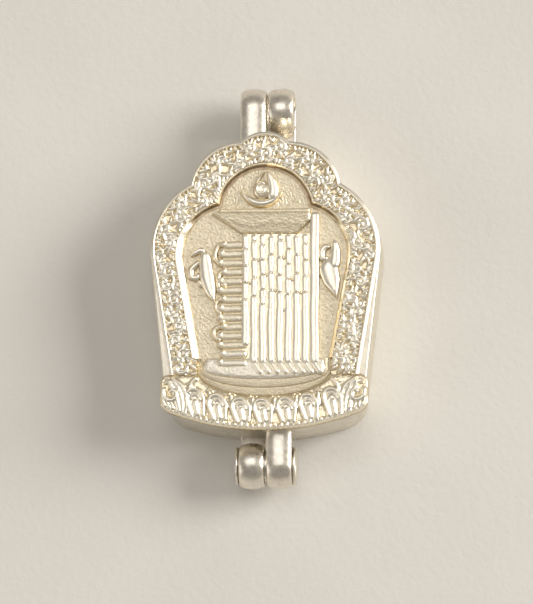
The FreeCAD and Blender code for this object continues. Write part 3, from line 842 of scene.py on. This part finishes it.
def paint_petals(relief):
    """The lotus petals, each a double arch round a long boss, with a tip between each two."""
    last = (PETAL_COUNT - 1) / 2
    for place in np.arange(PETAL_COUNT + 1) - last - 0.5:
        x = place * PETAL_PITCH
        top = -12.75 + 1.1 * (place / (last + 0.5)) ** 2
        relief.stroke([(x, top - 1.2), (x, top)], [0.4, 0.12], 0.26)
        relief.stroke([(x - 0.34, top + 0.1), (x, top + 0.42), (x + 0.34, top + 0.1)], 0.12, 0.16)
    for place in np.arange(PETAL_COUNT) - last:
        x = place * PETAL_PITCH + rng.normal(0, 0.05)
        top = -12.95 + 1.15 * (place / last) ** 2
        foot = -15.45 + 0.95 * (x / 8) ** 2
        x = 1.05 * x - 0.25
        relief.stroke(leaning([(x, top - 1.0), (x, foot + 0.4)], top), [1.22, 0.9], 0.22)
        relief.stroke(leaning(petal_outline(x, top - 0.04, 0.96, foot), top), 0.26, 0.38)
        inner = petal_outline(x + 0.05, top - 0.62, 0.5, foot + 0.4)[2:-1]
        relief.stroke(leaning(inner, top), 0.17, 0.33)
        boss = [(x, top - 1.35), (x, (top + foot) / 2 - 0.1), (x + 0.05, foot + 0.2)]
        width = np.interp(even(9), [0, 0.35, 1], [0.12, 0.3, 0.26])
        relief.stroke(leaning(smooth_path(boss, 9), top), width, 0.43)


def paint_end_curls(relief):
    """At each end of the block a curl inside three long leaves, with small leaves under it."""
    for side in (-1, 1):
        curl = spiral((side * 9.95, -12.3), 0.98, 0.95, 90 - side * 70, -side, 0.2)
        relief.stroke(curl, np.linspace(0.36, 0.24, len(curl)), 0.42)
        for k in range(3):
            leaf = np.array([(8.45 + 0.3 * k, -14.5 + 0.15 * k), (8.3 + 0.55 * k, -12.9),
                             (8.9 + 0.6 * k, -11.4 + 0.1 * k), (10.0 + 0.35 * k, -10.6 - 0.3 * k)])
            width = np.interp(even(12), [0, 0.5, 1], [0.2, 0.34, 0.14])
            relief.stroke(smooth_path(leaf * [side, 1], 12), width, 0.36)
        for k in range(4):
            root = np.array([side * (9.3 + 0.45 * k), -14.0 + 0.12 * k])
            relief.stroke([root, root + [side * 0.3, 0.75]], [0.26, 0.12], 0.34)
        stem = np.array([(7.4, -10.7), (7.9, -11.3), (8.1, -12.3)]) * [side, 1]
        relief.stroke(smooth_path(stem, 8), 0.24, 0.34)


def base_relief():
    """Paints the petals, the end curls and the nicked rope along the front edge."""
    relief = Relief((-11.6, -16.8), (11.6, -9.8))
    paint_petals(relief)
    paint_end_curls(relief)
    xs = np.linspace(-10.7, 10.7, 60)
    relief.stroke(stacked(xs, foot_edge(xs) + 0.3), 0.26, 0.2)
    for x in np.arange(-10.2, 10.4, 0.62):
        y = foot_edge(x) + 0.1
        relief.stroke([(x, y), (x + 0.36, y + 0.5)], [0.24, 0.14], 0.33)
    relief.add_grain(0.022, 0.24)
    return relief


def build_base():
    """The lotus block at the foot, with its petals and end curls."""
    bow_y = FOOT_Y - BASE_SIDE_Y
    radius = (BASE_HALF ** 2 + bow_y ** 2) / (2 * -bow_y)
    xs = np.linspace(-BASE_HALF, BASE_HALF, 330)
    relief = base_relief()

    def front(x):
        return FOOT_Y + radius - np.sqrt(radius ** 2 - x ** 2) + corner_drop(x, BASE_HALF, BASE_FOOT_CORNER_R)

    def back(x):
        return np.minimum(BASE_TOP_Y - corner_drop(x, BASE_HALF, BASE_TOP_CORNER_R), oval_edge(x, 2))

    def height(x, y, t):
        margin = np.minimum(y - front(x), BASE_HALF - np.abs(x))
        edge = rounding(margin, 0.35)
        inner = rounding(back(x) - y, 0.9)
        return 0.34 + 0.16 * edge + 0.26 * inner + relief.sample(x, y) * np.clip(margin / 0.2, 0, 1)

    lower, upper = stacked(xs, front(xs)), stacked(xs, back(xs))
    relief_piece("lotus_pedestal", strip(lower, upper, eased(62), height, -0.02), cast,
                 ["lotus_base", "lotus_petals", "end_curls"], shade_and_wear=(0.25, 1.05), sharp=60)


# -------------------- emblem

def joint_pitch(rank):
    """The distance between a reed's swellings."""
    return 1.85 + 0.22 * math.sin(2.3 * rank)


def joint_start(rank):
    """The height of a reed's first joint, which differs from reed to reed."""
    return REED_TOP_Y - (0.7 * rank) % 1.9 + 0.15 * math.cos(3 * rank)


def reed(x, top, width, rank, plain=False):
    """One upright bar, swelling between joints in its upper part. All but the first have a slanting toe."""
    foot = REED_FOOT_Y if rank else REED_FOOT_Y + 1.6
    trunk = stacked(x, np.linspace(top, foot, 150))
    trunk[:, 0] += 0.035 * np.sin(trunk[:, 1] * 0.9 + rank)
    if rank:
        toe = line((x, foot), (x + TOE[0], foot + TOE[1]), 0.09)
        trunk = smooth_path(np.concatenate([trunk[:-4:3], toe[2::3]]), 190)
    y = trunk[:, 1]
    along = ((y - joint_start(rank)) / joint_pitch(rank)) % 1
    busy = 0 if plain else np.clip((y - JOINTED_DOWN_TO_Y) / 1.2, 0, 1)
    neck = busy * (1 - rounding(np.minimum(along, 1 - along), 0.12))
    half = width / 2 * (1 - 0.4 * neck - 0.3 * busy * (1 - along))
    if rank:
        half = half * np.where(y < foot - 0.2, 0.8, 1)
    crest = 0.8 - 0.1 * neck + 0.14 * eased_at((foot + 0.1 - y) / 0.5)
    return ridge(trunk, half, crest, 0.3, columns=13, crown=0.55)


def bed(left, right, foot, top, height, columns):
    """A level slab that a row of bars stands on."""
    levels = np.linspace(foot, top, 40)
    return strip(stacked(right, levels), stacked(left, levels), eased(columns), lambda x, y, t: height, 0)


def build_reeds():
    """The jointed reeds with small bosses between them, and the plain post at their right."""
    shells = [reed(REED_X + i * REED_PITCH, REED_TOP_Y, REED_W, i) for i in range(REED_COUNT)]
    shells.append(reed(POST_X, POST_TOP_Y, POST_W, REED_COUNT, plain=True))
    for i in range(REED_COUNT - 1):
        x = REED_X + (i + 0.5) * REED_PITCH
        for k in range(5):
            y = joint_start(i) - k * joint_pitch(i)
            if JOINTED_DOWN_TO_Y < y < REED_TOP_Y - 0.5 and (i + 2 * k) % 3 == 0:
                shells.append(dome(x, y, 0.25, 0.72, 0.1))
    shells.append(bed(REED_X - 0.3, POST_X + 0.02, REED_FOOT_Y - 0.3, REED_TOP_Y, 0.48, 40))
    relief_piece("reed_bars", joined(shells), smooth_cast, ["reed_bundle"], shade_and_wear=(0.1, 0.72))


def rib(left, end, y, lift):
    """One level bar that turns up at its left end."""
    path = smooth_path([(left - 0.35, y + 0.42), (left - 0.2, y + 0.05), (left + 0.35, y - 0.08),
                        (-3.3, y - 0.05), (end, y - 0.04)], 46)
    half = np.interp(even(46), [0, 0.22, 0.5, 1], [0.32, 0.42, 0.44, 0.42])
    top = np.interp(even(46), [0, 0.2, 0.4, 1], [0.76, 0.8, 0.68, 0.66]) + lift
    return ridge(path, half, top, 0.1, crown=0.5)


def hook(left, y):
    """A curl round the left ends of two ribs."""
    out = rng.uniform(0.5, 1.0)
    drop = rng.uniform(-0.3, 0.4)
    path = smooth_path([(left + 0.4, y + 1.1), (left - 0.6 * out, y + 0.9), (left - out, y + drop),
                        (left - 0.7 * out, y + drop - 0.6), (left - 0.1, y + drop - 0.9)], 26)
    return ridge(path, rng.uniform(0.24, 0.34), 0.66, 0.05)


def build_ribs():
    """The stack of level bars at the left of the reeds, with hooks and two bosses at its uneven left edge."""
    shells = []
    for i in range(RIB_COUNT):
        y = RIB_TOP_Y - RIB_PITCH * i
        left = -4.45 + 0.22 * math.cos(2 * math.pi * i / 3) + rng.normal(0, 0.05)
        shells.append(rib(left, -1.75 if i > 10 else -2.2, y, 0.16 * (i > 11)))
        if i % 3 == 1 and i < RIB_COUNT - 1:
            shells.append(hook(left, y))
        if i in (4, 8):
            shells.append(dome(left + 0.1, y - 0.42, 0.46, 0.8, 0.05, squash=0.75))
    shells.append(bed(-4.5, REED_X - 0.25, -8.6, 4.3, 0.44, 12))
    relief_piece("rib_bars", joined(shells), matted, ["rib_stack"], shade_and_wear=(0.3, 0.86))


def build_canopy():
    """The inverted trapezium over the reeds, tilted up towards the round ledge along its top."""
    foot_y = REED_TOP_Y + 0.05
    levels = np.linspace(foot_y, CANOPY_TOP_Y, 30)
    share = (levels - foot_y) / (CANOPY_TOP_Y - foot_y)
    left = stacked(-2.6 - 3.2 * share, levels)
    right = stacked(np.minimum(3.5 + 2.1 * share, CANOPY_END_X), levels)
    ground = Relief((-6.5, 5), (6.5, 8.2))
    for x in np.arange(-5.2, 5.2, 0.72):
        place = (x + rng.normal(0, 0.06), 6.45 + rng.normal(0, 0.12))
        ground.stroke(spiral(place, 0.34, 0.8, rng.uniform(0, 360), 1), 0.15, 0.035)
    ground.add_grain(0.022, 0.22)

    def height(x, y, t):
        rise = (y - foot_y) / (CANOPY_TOP_Y - foot_y)
        edge = rounding((1 - np.abs(2 * t - 1)) * 3.4, 0.35)
        lip = rounding(y - foot_y, 0.25)
        return 0.18 + 0.24 * edge + 0.1 * lip + 0.36 * rise + ground.sample(x, y)

    body = strip(right, left, eased(90), height, 0)
    run = np.linspace(-5.1, CANOPY_END_X + 0.02, 80)
    ledge = ridge(stacked(run, LEDGE_Y), 0.3, 0.86, 0.05, crown=0.3)
    relief_piece("canopy_panel", joined([body, ledge]), matted, ["canopy"], shade_and_wear=(0.4, 1.5))


def build_moon():
    """The crescent: an arc that thins out towards both horns."""
    angle = np.radians(np.linspace(186, 350, 70))
    outer = stacked(2.3 * np.cos(angle) - 0.4, 10.3 + 2.2 * np.sin(angle))
    thick = 0.95 * (1 - np.abs(np.linspace(-1, 1, 70)) ** 2.4) + 0.1
    inner = outer - stacked(np.cos(angle), np.sin(angle)) * thick[:, None]

    def height(x, y, t):
        return 0.2 + 0.5 * np.sin(np.pi * t) ** 0.7

    relief_piece("crescent_moon", strip(outer, inner, eased(11), height, 0), smooth_cast,
                 ["crescent"], shade_and_wear=(0.1, 0.6))


def build_sun():
    """The sun's disc with a curl on it, a tall flame at its right and a small one at its left."""
    sun = (-0.35, 10.1)
    disc = dome(*sun, 1.02, 0.66, 0.2)
    curl = ridge(spiral(sun, 0.74, 1.1, 60, 1, 0.2), 0.2, 0.84, 0.4)
    flame_path = smooth_path([(0.55, 8.9), (0.85, 9.7), (0.82, 10.6), (0.5, 11.5), (0.16, 12.3)], 40)
    flame = ridge(flame_path, np.interp(even(40), [0, 0.25, 0.6, 1], [0.5, 0.66, 0.52, 0.07]),
                  0.88, 0.05, crown=0.8)
    lick_path = smooth_path([(-1.0, 10.7), (-0.7, 11.3), (-0.1, 12.1)], 24)
    lick = ridge(lick_path, np.interp(even(24), [0, 0.4, 1], [0.16, 0.24, 0.06]), 0.6, 0.05)
    relief_piece("sun_and_flame", joined([disc, curl, flame, lick]), smooth_cast, ["sun_drop"],
                 shade_and_wear=(0.1, 0.68))


def tapered(points, widths, top):
    """A leaf along a curve, with its relative widths at even steps."""
    path = smooth_path(points, 44)
    half = 1.45 * np.interp(even(44), even(len(widths)), widths)
    return ridge(path, half, top, 0.05, crown=0.75)


def build_leaves():
    """The curled leaves at the left and right of the emblem."""
    left = [
        tapered([(-6.5, 3.45), (-6.42, 2.0), (-6.22, 0.4), (-5.84, -1.1), (-5.38, -2.35)],
                [0.34, 0.5, 0.56, 0.44, 0.06], 0.88),
        tapered([(-6.5, 3.2), (-7.0, 3.45), (-7.55, 3.2), (-8.05, 2.75)], [0.22, 0.26, 0.22, 0.1], 0.72),
        tapered([(-6.9, 2.3), (-7.45, 1.9), (-8.0, 1.3), (-7.9, 0.55), (-7.3, 0.5), (-7.25, 1.0)],
                [0.14, 0.22, 0.26, 0.26, 0.22, 0.14], 0.62),
        tapered([(-7.3, 0.3), (-6.9, -0.2), (-6.3, -0.5)], [0.12, 0.26, 0.2], 0.5),
    ]
    right = [
        tapered([(7.5, 4.55), (7.64, 3.4), (7.58, 2.2), (7.4, 1.2)], [0.24, 0.38, 0.44, 0.4], 0.86),
        tapered([(6.85, 2.5), (6.95, 1.3), (7.3, -0.1), (7.88, -1.9)], [0.4, 0.74, 0.66, 0.05], 0.84),
        tapered([(7.1, 3.75), (6.5, 3.7), (6.15, 3.1), (6.35, 2.5), (6.9, 2.6)],
                [0.14, 0.26, 0.3, 0.26, 0.2], 0.66),
        tapered([(6.1, 1.7), (6.15, 0.9), (6.7, -0.1)], [0.12, 0.26, 0.12], 0.45),
    ]
    for side, shells in (("left", left), ("right", right)):
        relief_piece(f"{side}_leaf_relief", joined(shells), smooth_cast, [f"{side}_leaf"], shade_and_wear=(0.05, 0.66))


# -------------------- loops and hinge

def band_section(half):
    """The rolled band's section as (across, height over its inside), flat inside and crowned outside."""
    thick = BAND_OUT_R - BAND_IN_R
    xs = np.linspace(-half + 0.16, half - 0.16, 13)
    crown = [(x, thick - BAND_CROWN * abs(x / half) ** 2.3) for x in xs]
    right = [(half - 0.06, thick - BAND_CROWN - 0.02), (half, thick - BAND_CROWN - 0.12), (half, 0.1),
             (half - 0.04, 0.03), (half - 0.12, 0)]
    left = [(-x, h) for x, h in reversed(right)]
    return np.array(crown + right + left)


def band_loop(node, y_sign, on_cover):
    """A band that leaves the case wall and rolls round into an open ring."""
    low, high = node_box(node)
    middle, half = (low[0] + high[0]) / 2, (high[0] - low[0]) / 2
    ring_y = (high[1] - BAND_OUT_R) if y_sign > 0 else (low[1] + BAND_OUT_R)
    wall_y = low[1] if y_sign > 0 else high[1]
    up = 1 if on_cover else -1
    section = band_section(half)
    xs, reach = middle + section[:, 0], BAND_IN_R + section[:, 1]
    rings = []
    for y in np.linspace(wall_y, ring_y, 14)[:-1]:
        rings.append(stacked(xs, y, PARTING_Z + up * reach))
    for turn in np.radians(np.linspace(0, 314, 110)):
        ys = ring_y + y_sign * reach * math.sin(turn)
        rings.append(stacked(xs, ys, PARTING_Z + up * reach * math.cos(turn)))
    return tube(np.array(rings))


def build_loops():
    """The four bands. Of each pair one is soldered to the cover and one to the back half."""
    for node, y_sign, on_cover in (("top_left_loop", 1, True), ("top_right_loop", 1, False),
                                   ("bottom_left_loop", -1, False), ("bottom_right_loop", -1, True)):
        piece(f"{node}_band", band_loop(node, y_sign, on_cover), "cover" if on_cover else "back_half",
              polished, [node], sharp=50)


def build_tube():
    """The open hinge tube with trumpet ends."""
    low, high = node_box("hinge_tube")
    axis_y, axis_z = (low[1] + high[1]) / 2, (low[2] + high[2]) / 2
    end, flare = high[0], (high[2] - low[2]) / 2
    outside = [(end - 0.9, 1.75), (end - 0.34, 1.75), (end - 0.29, 1.9), (end - 0.26, flare - 0.05),
               (end - 0.18, flare), (end - 0.07, flare - 0.02), (end, flare - 0.12)]
    inside = [(end - 0.02, flare - 0.24), (end - 0.1, flare - 0.42), (end - 0.25, 1.5), (end - 0.5, 1.42),
              (end - 0.9, 1.4)]
    half = outside + inside
    profile = half + [(-x, r) for x, r in reversed(half)]
    rings = [[(x, axis_y + r * math.cos(a), axis_z + r * math.sin(a)) for x, r in profile]
             for a in full_turn(80)]
    piece("hinge_tube_flared", tube(np.array(rings), wrap=True), "back_half", polished,
          ["hinge_tube"], sharp=50)


# -------------------- surroundings

FLOOR_R, FLOOR_BEND_R = 1.3, 0.75


def build_floor():
    """A pale studio sweep: flat round the object and curving up far from it. Sizes are in metres."""
    bend = np.radians(np.linspace(0, 70, 16))
    profile = [(0.4, 0.0), (0.9, 0.0)]
    profile += [(FLOOR_R + FLOOR_BEND_R * math.sin(a), FLOOR_BEND_R * (1 - math.cos(a))) for a in bend]
    around = full_turn(96)
    verts = [(r * math.cos(a), r * math.sin(a), z) for r, z in profile for a in around]
    count = len(around)
    faces = [list(range(count))]
    for ring in range(len(profile) - 1):
        for i in range(count):
            j = (i + 1) % count
            start = ring * count
            faces.append([start + i, start + count + i, start + count + j, start + j])
    mesh = bpy.data.meshes.new("floor")
    mesh.from_pydata(verts, [], faces)
    mesh.polygons.foreach_set("use_smooth", np.ones(len(faces), bool))
    mesh.materials.append(floor_material())
    floor = add_object("floor", mesh)


def area_light(name, place, size, power, colour):
    """A soft panel aimed at the object. place and size are in metres."""
    data = bpy.data.lights.new(name, "AREA")
    data.shape = "RECTANGLE"
    data.size, data.size_y = size
    data.energy = power
    data.color = colour
    light = add_object(name, data)
    light.location = place
    light.rotation_euler = (Vector((0, 0, 0.004)) - Vector(place)).to_track_quat("-Z", "Y").to_euler()
    light.visible_camera = False


def build_lights():
    """A warm key from the right, two weak panels and a dim warm world."""
    area_light("key", (1.9, 0.5, 1.0), (1.1, 1.3), 48, (1.0, 0.965, 0.9))
    area_light("overhead", (-0.2, 0.7, 2.4), (1.5, 1.4), 10, (1.0, 0.98, 0.95))
    area_light("fill", (-1.7, -0.6, 0.8), (1.3, 1.1), 5, (1.0, 0.96, 0.9))
    world = bpy.data.worlds.new("studio")
    bpy.context.scene.world = world
    world.use_nodes = True
    back = world.node_tree.nodes["Background"]
    back.inputs["Color"].default_value = (0.64, 0.6, 0.55, 1)
    back.inputs["Strength"].default_value = 0.5


CAMERA_TIP_RIGHT, CAMERA_TIP_FOOT, CAMERA_ROLL = 4.09, 10.31, 0.35
CAMERA_DISTANCE, CAMERA_LENS = 700, 384.07
AIM_Z, AIM_LEFT, AIM_DOWN = 4, 0.0565, 1.578


def build_camera():
    """A long lens almost straight above the face, tipped a little towards the foot and the right."""
    tip_x, tip_y, roll = (math.radians(tip) for tip in (CAMERA_TIP_RIGHT, CAMERA_TIP_FOOT, CAMERA_ROLL))
    away = Vector((math.sin(tip_x) * math.cos(tip_y), -math.sin(tip_y), math.cos(tip_x) * math.cos(tip_y)))
    level = Vector((0, 1, 0)).cross(away).normalized()
    upright = away.cross(level)
    right = level * math.cos(roll) + upright * math.sin(roll)
    up = upright * math.cos(roll) - level * math.sin(roll)
    data = bpy.data.cameras.new("camera")
    data.sensor_width = 36
    data.lens = CAMERA_LENS
    data.clip_start, data.clip_end = 0.05, 20
    camera = add_object("camera", data)
    target = Vector((0, 0, AIM_Z)) - right * AIM_LEFT - up * AIM_DOWN
    place = (target + away * CAMERA_DISTANCE) * MM
    turn = Matrix((right, up, away)).transposed().to_4x4()
    camera.matrix_world = Matrix.Translation(place) @ turn
    bpy.context.scene.camera = camera


build_case()
rim_inside = build_rim()
build_bevel()
build_border(rim_inside)
build_field()
build_seat()
build_base()
build_reeds()
build_ribs()
build_canopy()
build_moon()
build_sun()
build_leaves()
build_loops()
build_tube()
build_floor()
build_lights()
build_camera()
bpy.context.scene.view_settings.view_transform = "Standard"
